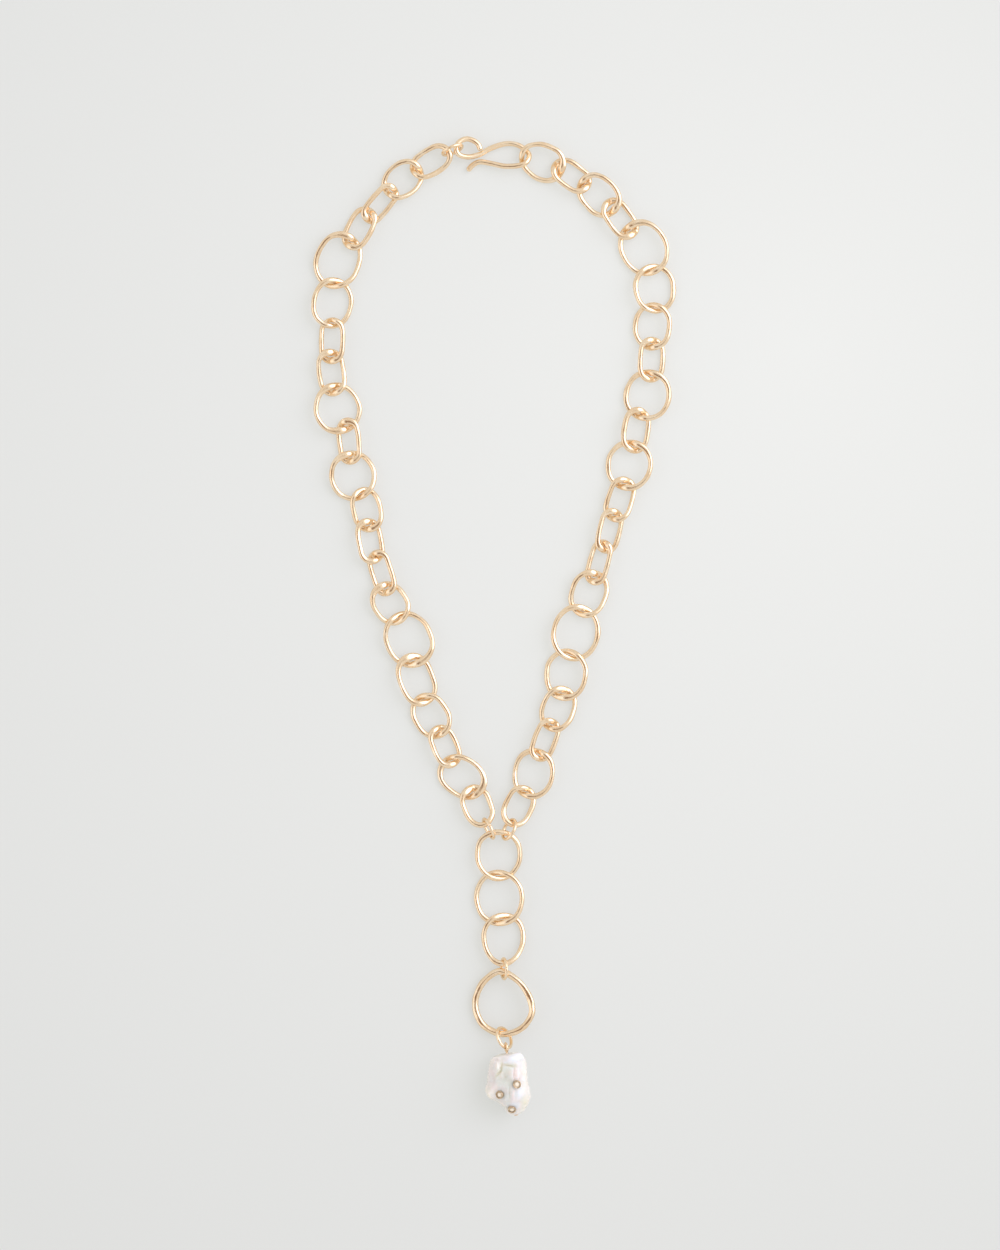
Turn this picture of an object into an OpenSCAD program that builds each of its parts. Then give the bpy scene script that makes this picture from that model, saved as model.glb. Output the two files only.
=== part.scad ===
/* [Wire] */
// Diameter of the wire of the chain links and drop rings
link_wire = 1.8; // [1.6:0.1:1.8]
// Diameter of the wire of the big ring
big_wire = 2.3; // [2:0.1:2.4]
// Diameter of the wire of the hook
hook_wire = 1.9; // [1.6:0.1:1.9]
// Diameter of the wire of the jump rings
jump_wire = 1.2; // [1:0.1:1.2]
// Diameter of the wire of the head pin
pin_wire = 0.8; // [0.6:0.1:0.8]

/* [Chain] */
// How far a wire rises or drops where two links cross
weave = 1.05; // [1:0.05:1.2]
// How straight the long sides of a narrow link are, from 0 for an oval to 1
straightness = 0.7; // [0.6:0.1:0.8]
// How far a jump ring lifts the wire end that it holds
ring_lift = 1.5; // [1.4:0.1:1.6]

/* [Pearl] */
// Length of the pearl along its drilled hole
pearl_len = 22.2; // [21.8:0.2:22.6]
// Height of the drilled hole above the surface that the pearl lies on
pin_height = 5.6; // [5.4:0.1:5.8]

/* [Settings] */
// Outer diameter of a stone's setting
setting_d = 2.9; // [2.7:0.1:3]
// Height of a setting
setting_h = 1.4; // [1.3:0.1:1.6]
// Wall of a setting
setting_wall = 0.3; // [0.25:0.05:0.35]

/* [Hidden] */

gold = "#e3bd8a";
nacre = "#dfe3e0";
crystal = "#f4f6fa";
gap = 0.12;
wire_sides = 6;
thick_wire_sides = 8;
link_steps = 16;
curve_steps = 2;
wire_fn = 24;
ring_fn = 48;
setting_fn = 36;

// Sideways distance over which a wire goes from level to fully over or under
cross_half = 1.7;

// Height of a link's wire where it neither rises nor drops
rest = link_wire / 2 + weave;

// Columns of the link tables. A link's heading points to the next link, swell makes the
// leading half wider, and over is 1 where the next link lies on top at the right-hand
// crossing as one walks the chain, -1 where it lies on top at the left-hand one, and 0
// where a jump ring holds the end.
X = 0;
Y = 1;
HEADING = 2;
LENGTH = 3;
WIDTH = 4;
SWELL = 5;
OVER = 6;

// Where the chains and the drop come from and lead to, for the side that a link lies over
CLASP_AT = [-15, 171.5, 0, 0, 0, 0, 0];
HOOK_AT = [12, 168.6, 0, 0, 0, 0, -1];
DROP_AT = [1, -75, 0, 0, 0, 0, 0];
BIG_RING_AT = [3.5, -124, 0, 0, 0, 0, 0];

LEFT_LINKS = [
    [-22.5, 167.5, 211, 16.5, 10.5, 0, 1],
    [-32.7, 161, 221, 16.5, 13, 0, 1],
    [-40.9, 152.4, 230, 16.9, 8.4, 0, -1],
    [-48.2, 143.5, 242, 17, 10, 0, 1],
    [-56, 132, 250, 21.1, 17, 0, 1],
    [-58.1, 116.6, 262, 18.5, 15, 0, -1],
    [-58.2, 103, 269, 17, 9.6, 0, 1],
    [-58.4, 91.6, 277, 17.2, 10.6, 0, 1],
    [-56.2, 78.7, 281, 18.8, 17.2, 0.05, -1],
    [-52, 66.9, 276, 17, 8.8, 0, 1],
    [-50.7, 54.4, 283, 18.4, 17.1, 0, 1],
    [-45.6, 42.2, 283, 16.6, 11.4, 0, 1],
    [-44.5, 30.9, 280, 16.9, 9.7, 0, -1],
    [-40.2, 19.4, 286, 17.2, 8.7, 0, 1],
    [-37.2, 8.5, 300, 16.6, 13.4, 0, 1],
    [-30.5, -4.5, 296, 21.1, 17.6, 0, 1],
    [-27.7, -19, 291, 19.8, 13.4, 0, -1],
    [-22.5, -32, 300, 17.6, 13.6, 0, 1],
    [-17.5, -43, 294, 16.4, 10, 0, -1],
    [-11.3, -54, 326, 19, 14.7, 0, 1],
    [-5.8, -64.5, 293, 16, 11.4, 0, 0]];

RIGHT_LINKS = [
    [17.5, 167.5, 334, 17.6, 13.6, 0.1, 1],
    [28, 162.5, 325, 16.2, 10.2, 0, -1],
    [38, 155.5, 315, 18, 13.6, 0, 1],
    [45.5, 147, 306, 17, 10, 0, -1],
    [54, 136.5, 298, 21, 17.6, 0, 1],
    [58, 121.8, 277, 18.1, 15.4, 0, -1],
    [57.2, 108.2, 268, 17.4, 14, 0, 1],
    [56.8, 96.2, 267, 16.6, 10, 0, -1],
    [55.4, 83.4, 259, 18.8, 17.2, 0, 1],
    [51.3, 70.8, 263, 16.8, 10.4, 0, -1],
    [48.8, 58.2, 257, 18.6, 17, 0, 1],
    [45.5, 45.9, 253, 17, 10.4, 0, 1],
    [41.7, 34.6, 257, 16.7, 9, 0, -1],
    [37.9, 23.2, 255, 17, 8.2, 0, 1],
    [34.3, 12, 250, 17.8, 14, 0, 1],
    [29.5, -2.1, 258, 20.8, 17.6, 0, -1],
    [26, -17.2, 264, 19, 15.6, 0, 1],
    [23.2, -29.5, 250, 17.2, 12.8, 0, 1],
    [18.5, -40.6, 249, 16.6, 9.2, 0, -1],
    [14.3, -52.8, 260, 18.6, 15.4, 0, 1],
    [9, -64.5, 246, 16, 11.2, 0, 0]];

// The three wire rings of the drop. The last column squares the end nearest the chains,
// from 1 for a plain oval.
SQUARE = 7;
DROP_RINGS = [
    [1.8, -82.2, 272, 18.8, 17, -0.05, -1, 0.85],
    [2, -97.6, 275, 20.4, 18.2, 0, 1, 1],
    [3.5, -112.5, 269, 19.3, 15.8, -0.12, 0, 1]];

// Middle line of the big ring, walked round from its top: x, y
BIG_RING = [
    [1.5, -124], [-3, -127], [-6, -132], [-6.5, -137.5], [-4, -143], [1, -146],
    [6, -146.2], [11, -143.5], [13.8, -138.5], [12.8, -133], [9.5, -128], [5.5, -125]];
big_top = 3.2;
big_bottom = 2.6;
big_roll = 8;

// Middle line of the hook, from the closed end of its eye to its tip: x, y, z
HOOK = [
    [-4.8, 171.6, 2.8], [-5.5, 173.6, 2.5], [-7.4, 175.1, 2.5], [-10.1, 175.6, 2.7],
    [-12.6, 174.2, 3.2],
    [-13.4, 171.8, 3.3], [-12.2, 169.8, 3], [-9, 169.2, 2.3], [-5, 170.2, 1.6],
    [-1, 172.4, 1.2], [4, 174, 1], [8, 173.8, 1], [11, 172.2, 1],
    [12.8, 169.8, 1.6], [11.8, 167.2, 3.1], [9, 166, 3.2], [4, 165.8, 2.6],
    [-1, 166.9, 1.8], [-5, 167.5, 1.2], [-7.6, 166.3, 1], [-9.4, 164.2, 1]];

// Jump rings: middle, heading and rise of the long way across, lean out of the flat, and
// the distance across, from wire middle to wire middle
Z = 2;
RING_TURN = 3;
RISE = 4;
LEAN = 5;
ACROSS = 6;
CLASP_RING = [-14.8, 171.5, 4.2, 22, 0, 76, 7.4];
LEFT_RING = [-1.8, -72.5, 4.35, 296, 0, 76, 7.6];
RIGHT_RING = [5.6, -72.8, 4.1, 243, 0, 64, 7.6];
MIDDLE_RING = [3.7, -122.9, 4.1, 271, 0, 75, 7.2];
PEARL_RING = [3.8, -147.8, 4, 284, 22.6, -56, 7.7];

// The head pin's loop stands at its start, and the pin runs from there through the pearl
PIN_START = [4.5, -151.1];
pin_turn = 278.5;
loop_d = 3;
loop_lean = 75;
head_d = 1.5;
head_h = 0.4;

// Sections of the pearl: share of the way along its hole, half width to the left and to
// the right, height above and depth below the hole
ALONG = 0;
LEFT = 1;
RIGHT = 2;
UP = 3;
DOWN = 4;
PEARL = [
    [0, 2.4, 2.4, 1.6, 1.6],
    [0.03, 5.3, 4.8, 4.2, 3.6],
    [0.11, 6.7, 6.1, 5.5, 4.9],
    [0.25, 7.7, 6.4, 6.3, 5.5],
    [0.42, 8.8, 6.1, 6.5, 5.6],
    [0.55, 9.7, 6.1, 6.3, 5.6],
    [0.66, 9.2, 6.4, 6, 5.4],
    [0.74, 6.8, 6.2, 5.6, 5],
    [0.82, 4.9, 5.6, 5, 4.4],
    [0.9, 3.8, 4.6, 4.2, 3.7],
    [0.96, 3.1, 3.2, 3.1, 2.8],
    [1, 1.9, 1.9, 1.8, 1.7]];

// Settings: middle of the rim, then turn and tip of the way it faces, from straight up
FACING = 3;
TIP = 4;
SETTINGS = [
    [8.4, -163.8, 12.2, 10, 8],
    [2, -167.7, 11.1, 200, 31],
    [6.6, -173.2, 9.9, 275, 38]];

function mix(a, b, t) = a + (b - a) * t;
function limit(v) = max(-1, min(1, v));
function unit(v) = v / norm(v);

function flat(row) = [row[X], row[Y]];

// How far a point lies to the right of the way from one place to the next
function right_of(p, from, to) =
    let(way = unit(to - from))
    (p - from) * [way[1], -way[0]];

function over_under(p, from, to) = sin(90 * limit(right_of(p, from, to) / cross_half));

// Distance aside of a shape with straight sides and round ends, at a distance along it
function straight_side(a, b, along) =
    let(past = max(0, along - max(0, a - b)))
    b * sqrt(max(0, 1 - (past / b) ^ 2));

// A point of a link's middle line. At each end the wire rises on the side where it lies
// over its neighbour and drops on the other, and a jump ring lifts the end that it holds.
function link_point(row, before, after, t) =
    let(a = (row[LENGTH] - link_wire) / 2,
        b = (row[WIDTH] - link_wire) / 2,
        power = cos(t) < 0 && len(row) > SQUARE ? row[SQUARE] : 1,
        along = a * sign(cos(t)) * abs(cos(t)) ^ power,
        straight = straightness * limit(2 * (1 - b / a)),
        side = mix(b * abs(sin(t)), straight_side(a, b, a * abs(cos(t))), straight),
        aside = sign(sin(t)) * side * (1 + row[SWELL] * cos(t)),
        here = flat(row),
        p = here + along * [cos(row[HEADING]), sin(row[HEADING])]
            + aside * [sin(row[HEADING]), -cos(row[HEADING])],
        back = before[OVER] * over_under(p, flat(before), here),
        front = -row[OVER] * over_under(p, here, flat(after)),
        held = (cos(t) < 0 ? before[OVER] : row[OVER]) == 0 ? 1 : 0,
        z = rest + weave * mix(back, front, (limit(1.4 * cos(t)) + 1) / 2)
            + held * ring_lift * cos(t) ^ 2)
    [p[X], p[Y], z];

// The rows are a chain with the place that it comes from first and leads to last
function link_path(rows, i) =
    [for (k = [0:link_steps - 1]) link_point(rows[i], rows[i - 1], rows[i + 1], 360 * k / link_steps)];

// Smooth curve through a list of points
function curve_point(p, i, t, closed) =
    let(n = len(p),
        a = closed ? p[(i + n - 1) % n] : p[max(i - 1, 0)],
        b = p[i],
        c = closed ? p[(i + 1) % n] : p[min(i + 1, n - 1)],
        d = closed ? p[(i + 2) % n] : p[min(i + 2, n - 1)])
    b + t / 2 * (c - a) + t ^ 2 * (a - 2.5 * b + 2 * c - d / 2) + t ^ 3 * (1.5 * b - a / 2 - 1.5 * c + d / 2);

function curve(p, steps, closed) =
    [for (i = [0:len(p) - (closed ? 1 : 2)], k = [0:steps - 1]) curve_point(p, i, k / steps, closed),
     if (!closed) p[len(p) - 1]];

// Rings of points round a path that lies nearly flat, with its corners at top and bottom
function wire_points(path, r, sides, closed) =
    [for (i = [0:len(path) - 1])
        let(n = len(path),
            ahead = closed ? path[(i + 1) % n] : path[min(i + 1, n - 1)],
            behind = closed ? path[(i + n - 1) % n] : path[max(i - 1, 0)],
            way = unit(ahead - behind),
            aside = unit(cross(way, [0, 0, 1])),
            up = cross(aside, way))
        for (k = [0:sides - 1])
            path[i] + r * (sin(360 * k / sides) * aside + cos(360 * k / sides) * up)];

function wire_faces(count, sides, closed, first) =
    [for (i = [0:count - (closed ? 1 : 2)], k = [0:sides - 1], half = [0, 1])
        let(a = first + i * sides + k,
            b = first + i * sides + (k + 1) % sides,
            c = first + (i + 1) % count * sides + (k + 1) % sides,
            d = first + (i + 1) % count * sides + k)
        half == 0 ? [a, c, b] : [a, d, c]];

// Closed wires, each a loose solid, for the picked rows of a chain
module links(rows, picks) {
    paths = [for (i = picks) link_path(rows, i)];
    points = [for (p = paths) each wire_points(p, link_wire / 2, wire_sides, true)];
    faces = [for (i = [0:len(paths) - 1])
        each wire_faces(link_steps, wire_sides, true, i * link_steps * wire_sides)];
    polyhedron(points, faces);
}

module left_chain() {
    color(gold) links(concat([CLASP_AT], LEFT_LINKS, [DROP_AT]), [1:len(LEFT_LINKS)]);
}

module right_chain() {
    color(gold) links(concat([HOOK_AT], RIGHT_LINKS, [DROP_AT]), [1:len(RIGHT_LINKS)]);
}

module drop_ring(i) {
    color(gold) links(concat([DROP_AT], DROP_RINGS, [BIG_RING_AT]), [i]);
}

// The big ring lies rolled to its left side between its two jump rings
module big_ring() {
    middle = [(BIG_RING[0][X] + BIG_RING[6][X]) / 2, BIG_RING[0][Y], BIG_RING[6][Y]];
    path = [for (p = curve(BIG_RING, curve_steps, true))
        [p[X], p[Y], mix(big_top, big_bottom, (p[Y] - middle[1]) / (middle[2] - middle[1]))
            + (p[X] - middle[0]) * tan(big_roll)]];
    color(gold) polyhedron(
        wire_points(path, big_wire / 2, thick_wire_sides, true),
        wire_faces(len(path), thick_wire_sides, true, 0));
}

module hook_clasp() {
    sides = thick_wire_sides;
    path = curve(HOOK, curve_steps, false);
    last = len(path) - 1;
    points = wire_points(path, hook_wire / 2, sides, false);
    faces = concat(
        wire_faces(len(path), sides, false, 0),
        [[for (k = [0:sides - 1]) k], [for (k = [sides - 1:-1:0]) last * sides + k]]);
    color(gold) polyhedron(points, faces);
}

module jump_ring(row) {
    color(gold)
        translate([row[X], row[Y], row[Z]])
            rotate([row[LEAN], -row[RISE], row[RING_TURN]])
                rotate_extrude($fn = ring_fn)
                    translate([row[ACROSS] / 2, 0]) circle(d = jump_wire, $fn = wire_fn);
}

module along_pin() {
    translate([PIN_START[X], PIN_START[Y], pin_height]) rotate([0, 0, pin_turn]) children();
}

pearl_sides = 24;
pearl_start = loop_d / 2 + pin_wire / 2 + gap;
pearl_end = pearl_start + pearl_len;

module head_pin() {
    color(gold) along_pin() {
        rotate([loop_lean, 0, 0]) rotate_extrude($fn = ring_fn)
            translate([loop_d / 2, 0]) circle(d = pin_wire, $fn = wire_fn);
        rotate([0, 90, 0]) translate([0, 0, loop_d / 2])
            cylinder(d = pin_wire, h = pearl_end + gap - loop_d / 2 + head_h / 2, $fn = wire_fn);
        rotate([0, 90, 0]) translate([0, 0, pearl_end + gap]) cylinder(d = head_d, h = head_h, $fn = wire_fn);
    }
}

function pearl_point(row, a) =
    let(across = cos(a) > 0 ? row[RIGHT] : row[LEFT],
        up = sin(a) > 0 ? row[UP] : row[DOWN])
    [pearl_start + row[ALONG] * pearl_len, across * cos(a), up * sin(a)];

module pearl_body() {
    points = [for (row = PEARL, k = [0:pearl_sides - 1]) pearl_point(row, 360 * k / pearl_sides)];
    last = len(PEARL) - 1;
    faces = concat(
        wire_faces(len(PEARL), pearl_sides, false, 0),
        [[for (k = [0:pearl_sides - 1]) k], [for (k = [pearl_sides - 1:-1:0]) last * pearl_sides + k]]);
    along_pin() polyhedron(points, faces);
}

// Stands at the middle of a setting's rim, facing the way that it faces
module at_setting(i) {
    s = SETTINGS[i];
    translate([s[X], s[Y], s[Z]]) rotate([0, s[TIP], s[FACING]]) children();
}

module pearl() {
    pocket_open = 4;
    hole_d = pin_wire + 2 * gap;
    color(nacre) difference() {
        pearl_body();
        along_pin() rotate([0, 90, 0]) cylinder(d = hole_d, h = pearl_end + 1, $fn = wire_fn);
        for (i = [0:2])
            at_setting(i) translate([0, 0, -setting_h - gap])
                cylinder(d = setting_d + 2 * gap, h = setting_h + pocket_open, $fn = setting_fn);
    }
}

// A stone's girdle sits this far below the rim, over a ledge in the setting
girdle_drop = 0.45;
ledge_drop = 0.65;
ledge = 0.22;
floor_h = 0.15;
cup_r = setting_d / 2 - setting_wall;
stone_r = cup_r - gap;

module setting(i) {
    color(gold) at_setting(i) difference() {
        translate([0, 0, -setting_h]) cylinder(d = setting_d, h = setting_h, $fn = setting_fn);
        translate([0, 0, -ledge_drop]) cylinder(r = cup_r, h = 1, $fn = setting_fn);
        translate([0, 0, floor_h - setting_h]) cylinder(r = cup_r - ledge, h = setting_h, $fn = setting_fn);
    }
}

// A round cut: table, crown, thin girdle and pavilion
module stone(i) {
    table_share = 0.58;
    culet_r = 0.08;
    girdle_h = 0.08;
    crown_h = 0.4;
    pavilion_h = 0.6;
    flat_h = 0.05;
    color(crystal) at_setting(i) translate([0, 0, -girdle_drop]) hull() {
        translate([0, 0, crown_h]) cylinder(r = stone_r * table_share, h = flat_h, $fn = 8);
        rotate(180 / 16) cylinder(r = stone_r, h = girdle_h, $fn = 16);
        translate([0, 0, -pavilion_h]) cylinder(r = culet_r, h = flat_h, $fn = 8);
    }
}

left_chain();
right_chain();
hook_clasp();
jump_ring(CLASP_RING);  // jump_ring_clasp
jump_ring(LEFT_RING);  // jump_ring_left
jump_ring(RIGHT_RING);  // jump_ring_right
drop_ring(1);  // drop_ring_1
drop_ring(2);  // drop_ring_2
drop_ring(3);  // drop_ring_3
jump_ring(MIDDLE_RING);  // jump_ring_middle
big_ring();
jump_ring(PEARL_RING);  // jump_ring_pearl
head_pin();
pearl();
setting(0);  // setting_1
setting(1);  // setting_2
setting(2);  // setting_3
stone(0);  // stone_1
stone(1);  // stone_2
stone(2);  // stone_3
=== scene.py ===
"""A lariat necklace laid out on a pale floor: hammered pale-gold wire links, a hook clasp, a
drop of wire rings and a baroque pearl with three small set stones, seen from straight above."""

import math

import bmesh
import bpy
from mathutils import Euler, Matrix, Vector, noise


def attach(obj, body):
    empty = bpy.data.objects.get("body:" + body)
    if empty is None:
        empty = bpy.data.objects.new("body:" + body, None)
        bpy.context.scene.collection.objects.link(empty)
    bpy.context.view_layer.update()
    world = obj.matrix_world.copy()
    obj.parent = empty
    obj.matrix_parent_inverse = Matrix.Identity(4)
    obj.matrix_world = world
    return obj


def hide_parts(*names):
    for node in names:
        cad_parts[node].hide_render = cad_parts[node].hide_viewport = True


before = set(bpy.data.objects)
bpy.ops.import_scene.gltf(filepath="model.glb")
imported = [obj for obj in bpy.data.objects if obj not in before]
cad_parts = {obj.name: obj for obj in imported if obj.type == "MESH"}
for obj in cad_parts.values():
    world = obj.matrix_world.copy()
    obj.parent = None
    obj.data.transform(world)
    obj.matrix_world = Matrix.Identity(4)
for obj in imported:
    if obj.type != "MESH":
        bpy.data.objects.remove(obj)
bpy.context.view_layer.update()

MM = 0.001

# Diameters of the wires. Sizes and places are in millimetres, and the solids use the same ones
LINK_WIRE = 1.8
BIG_WIRE = 2.3
HOOK_WIRE = 1.9
JUMP_WIRE = 1.2
PIN_WIRE = 0.8

# How far a link's wire rises or drops where it crosses its neighbour's
WEAVE = 1.05
# Height of a link's wire where it neither rises nor drops
REST = LINK_WIRE / 2 + WEAVE
# How far a jump ring lifts the wire end that it holds
RING_LIFT = 1.5
# Sideways distance over which a wire goes from level to fully over or under, at least, and as
# a share of the narrower link's width
CROSS_HALF = 1.7
CROSS_SHARE = 0.2
# How quickly a link's rise passes from one neighbour's crossings to the other's
HANDOVER = 1.4
# How straight the long sides of a narrow link are, from 0 for an oval to 1
STRAIGHTNESS = 0.7
# How far hand-bent wire strays aside, as a share of its distance from the middle of its link,
# and how quickly that changes round the link
STRAY = 0.04
STRAY_PACE = 1.4
# How broad a link's end may be against its wire, how broad where a jump ring holds it, how
# fast it narrows again, and the gap between two ends
TIP_MOST = 1.5
TIP_HELD = 1.15
TIP_REACH = 5
TIP_GAP = 0.1

# What the ends of the chains and of the drop are joined to, as rows of the tables below that
# have a place but no link
CLASP_AT = (-15, 171.5, 0, 0, 0, 0, 0)
HOOK_AT = (12, 168.6, 0, 0, 0, 0, -1)
DROP_AT = (1, -75, 0, 0, 0, 0, 0)
BIG_RING_AT = (3.5, -124, 0, 0, 0, 0, 0)

# x, y, heading to the next link, length, width, swell of the leading half, and the side on
# which the next link lies on top
LEFT_LINKS = [
    (-22.5, 167.5, 211, 16.5, 10.5, 0, 1),
    (-32.7, 161, 221, 16.5, 13, 0, 1),
    (-40.9, 152.4, 230, 16.9, 8.4, 0, -1),
    (-48.2, 143.5, 242, 17, 10, 0, 1),
    (-56, 132, 250, 21.1, 17, 0, 1),
    (-58.1, 116.6, 262, 18.5, 15, 0, -1),
    (-58.2, 103, 269, 17, 9.6, 0, 1),
    (-58.4, 91.6, 277, 17.2, 10.6, 0, 1),
    (-56.2, 78.7, 281, 18.8, 17.2, 0.05, -1),
    (-52, 66.9, 276, 17, 8.8, 0, 1),
    (-50.7, 54.4, 283, 18.4, 17.1, 0, 1),
    (-45.6, 42.2, 283, 16.6, 11.4, 0, 1),
    (-44.5, 30.9, 280, 16.9, 9.7, 0, -1),
    (-40.2, 19.4, 286, 17.2, 8.7, 0, 1),
    (-37.2, 8.5, 300, 16.6, 13.4, 0, 1),
    (-30.5, -4.5, 296, 21.1, 17.6, 0, 1),
    (-27.7, -19, 291, 19.8, 13.4, 0, -1),
    (-22.5, -32, 300, 17.6, 13.6, 0, 1),
    (-17.5, -43, 294, 16.4, 10, 0, -1),
    (-11.3, -54, 326, 19, 14.7, 0, 1),
    (-5.8, -64.5, 293, 16, 11.4, 0, 0),
]
RIGHT_LINKS = [
    (17.5, 167.5, 334, 17.6, 13.6, 0.1, 1),
    (28, 162.5, 325, 16.2, 10.2, 0, -1),
    (38, 155.5, 315, 18, 13.6, 0, 1),
    (45.5, 147, 306, 17, 10, 0, -1),
    (54, 136.5, 298, 21, 17.6, 0, 1),
    (58, 121.8, 277, 18.1, 15.4, 0, -1),
    (57.2, 108.2, 268, 17.4, 14, 0, 1),
    (56.8, 96.2, 267, 16.6, 10, 0, -1),
    (55.4, 83.4, 259, 18.8, 17.2, 0, 1),
    (51.3, 70.8, 263, 16.8, 10.4, 0, -1),
    (48.8, 58.2, 257, 18.6, 17, 0, 1),
    (45.5, 45.9, 253, 17, 10.4, 0, 1),
    (41.7, 34.6, 257, 16.7, 9, 0, -1),
    (37.9, 23.2, 255, 17, 8.2, 0, 1),
    (34.3, 12, 250, 17.8, 14, 0, 1),
    (29.5, -2.1, 258, 20.8, 17.6, 0, -1),
    (26, -17.2, 264, 19, 15.6, 0, 1),
    (23.2, -29.5, 250, 17.2, 12.8, 0, 1),
    (18.5, -40.6, 249, 16.6, 9.2, 0, -1),
    (14.3, -52.8, 260, 18.6, 15.4, 0, 1),
    (9, -64.5, 246, 16, 11.2, 0, 0),
]
# The last number squares the end nearest the chains, from 1 for a plain oval
DROP_RINGS = [
    (1.8, -82.2, 272, 18.8, 17, -0.05, -1, 0.85),
    (2, -97.6, 275, 20.4, 18.2, 0, 1, 1),
    (3.5, -112.5, 269, 19.3, 15.8, -0.12, 0, 1),
]
# Points of the big ring's middle line, from its top round by the left
BIG_RING = [
    (1.5, -124), (-3, -127), (-6, -132), (-6.5, -137.5), (-4, -143), (1, -146),
    (6, -146.2), (11, -143.5), (13.8, -138.5), (12.8, -133), (9.5, -128), (5.5, -125),
]
# Height of the big ring's wire at its top and bottom, and how far the ring rolls to one side
BIG_TOP = 3.2
BIG_BOTTOM = 2.6
BIG_ROLL = 8
# Points of the hook's wire, from the cut end of its eye, round the eye and the bend, to its tip
HOOK = [
    (-4.8, 171.6, 2.8), (-5.5, 173.6, 2.5), (-7.4, 175.1, 2.5), (-10.1, 175.6, 2.7), (-12.6, 174.2, 3.2),
    (-13.4, 171.8, 3.3), (-12.2, 169.8, 3), (-9, 169.2, 2.3), (-5, 170.2, 1.6),
    (-1, 172.4, 1.2), (4, 174, 1), (8, 173.8, 1), (11, 172.2, 1),
    (12.8, 169.8, 1.6), (11.8, 167.2, 3.1), (9, 166, 3.2), (4, 165.8, 2.6),
    (-1, 166.9, 1.8), (-5, 167.5, 1.2), (-7.6, 166.3, 1), (-9.4, 164.2, 1),
]
# How far from the cut end the hook's wire is rounded, as a share of its radius, and how much
# of its thickness is left there
CUT_ROUND = 0.4
CUT_LEFT = 0.75
# Middle, heading and rise of the long way across, lean out of the flat, distance across
JUMP_RINGS = {
    "jump_ring_clasp": (-14.8, 171.5, 4.2, 22, 0, 76, 7.4),
    "jump_ring_left": (-1.8, -72.5, 4.35, 296, 0, 76, 7.6),
    "jump_ring_right": (5.6, -72.8, 4.1, 243, 0, 64, 7.6),
    "jump_ring_middle": (3.7, -122.9, 4.1, 271, 0, 75, 7.2),
    "jump_ring_pearl": (3.8, -147.8, 4, 284, 22.6, -56, 7.7),
}
# Degrees round a jump ring at which its cut ends meet, and the slit between them
SLIT_AT = 100
SLIT = 2.5

# Where the head pin's loop is, its heading and its height above the floor
PIN_START = (4.5, -151.1)
PIN_TURN = 278.5
PIN_HEIGHT = 5.6
# Distance across the loop's middle line, its lean out of the flat, and how many degrees of it
# are left open
LOOP_D = 3
LOOP_LEAN = 75
LOOP_OPEN = 14
# The gap that is kept between pieces that touch
GAP = 0.12
# Length of the pearl, and how far down the pin it starts and ends
PEARL_LEN = 22.2
PEARL_START = LOOP_D / 2 + PIN_WIRE / 2 + GAP
PEARL_END = PEARL_START + PEARL_LEN
# Diameter and height of the small head at the pin's end
PIN_HEAD_D = 1.5
PIN_HEAD_H = 0.42
# Share of the way along the hole, half width to the left and right, height and depth
PEARL = [
    (0, 2.4, 2.4, 1.6, 1.6),
    (0.03, 5.3, 4.8, 4.2, 3.6),
    (0.11, 6.7, 6.1, 5.5, 4.9),
    (0.25, 7.7, 6.4, 6.3, 5.5),
    (0.42, 8.8, 6.1, 6.5, 5.6),
    (0.55, 9.7, 6.1, 6.3, 5.6),
    (0.66, 9.2, 6.4, 6, 5.4),
    (0.74, 6.8, 6.2, 5.6, 5),
    (0.82, 4.9, 5.6, 5, 4.4),
    (0.9, 3.8, 4.6, 4.2, 3.7),
    (0.96, 3.1, 3.2, 3.1, 2.8),
    (1, 1.9, 1.9, 1.8, 1.7),
]
# The hole for the pin, and how far it is cut into each end of the pearl
HOLE_R = PIN_WIRE / 2 + GAP
HOLE_DEEP = 0.8
# Points along the pearl and round it
PEARL_ALONG = 230
PEARL_ROUND = 250
# Height and pitch of the slow and the quick waves of the pearl's skin, and how far they are
# sunk into it
SKIN_WAVES = [(0.3, 3.4), (0.12, 1.5)]
SKIN_SUNK = 0.12

SETTING_D = 2.9
SETTING_H = 1.4
SETTING_WALL = 0.3
# Middle of the rim, then turn and tip of the way it faces, from straight up
SETTINGS = [(8.4, -163.8, 12.2, 10, 8), (2, -167.7, 11.1, 200, 31), (6.6, -173.2, 9.9, 275, 38)]
# A setting's pocket in the pearl: its radius, how far round it the skin is made fine, how far
# off the setting's rim the skin may lie, and the share of the radius that turns down
SEAT_WALL = SETTING_D / 2 + 0.06
SEAT_FINE = SEAT_WALL + 0.5
SEAT_REACH = 2.5
SEAT_STEEP = 0.2


# Middle lines of the wires


def clamp(value, low=-1.0, high=1.0):
    return max(low, min(high, value))


def mix(a, b, share):
    return a + (b - a) * share


def between(a, b, c, d, t):
    """A share t of the way from b to c, on the smooth curve through a, b, c and d."""
    return (
        b + t / 2 * (c - a) + t**2 * (a - 2.5 * b + 2 * c - d / 2)
        + t**3 * (1.5 * b - a / 2 - 1.5 * c + d / 2)
    )


def curve_through(points, steps, closed):
    """A smooth curve through points, with so many steps from one to the next."""
    n = len(points)
    line = []
    for i in range(n if closed else n - 1):
        around = [i - 1, i, i + 1, i + 2]
        if closed:
            near = [points[k % n] for k in around]
        else:
            near = [points[min(max(k, 0), n - 1)] for k in around]
        line += [between(*near, k / steps) for k in range(steps)]
    if not closed:
        line.append(points[-1].copy())
    return line


def on_circle(radius, turn, z=0):
    return Vector((radius * math.cos(turn), radius * math.sin(turn), z))


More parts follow.
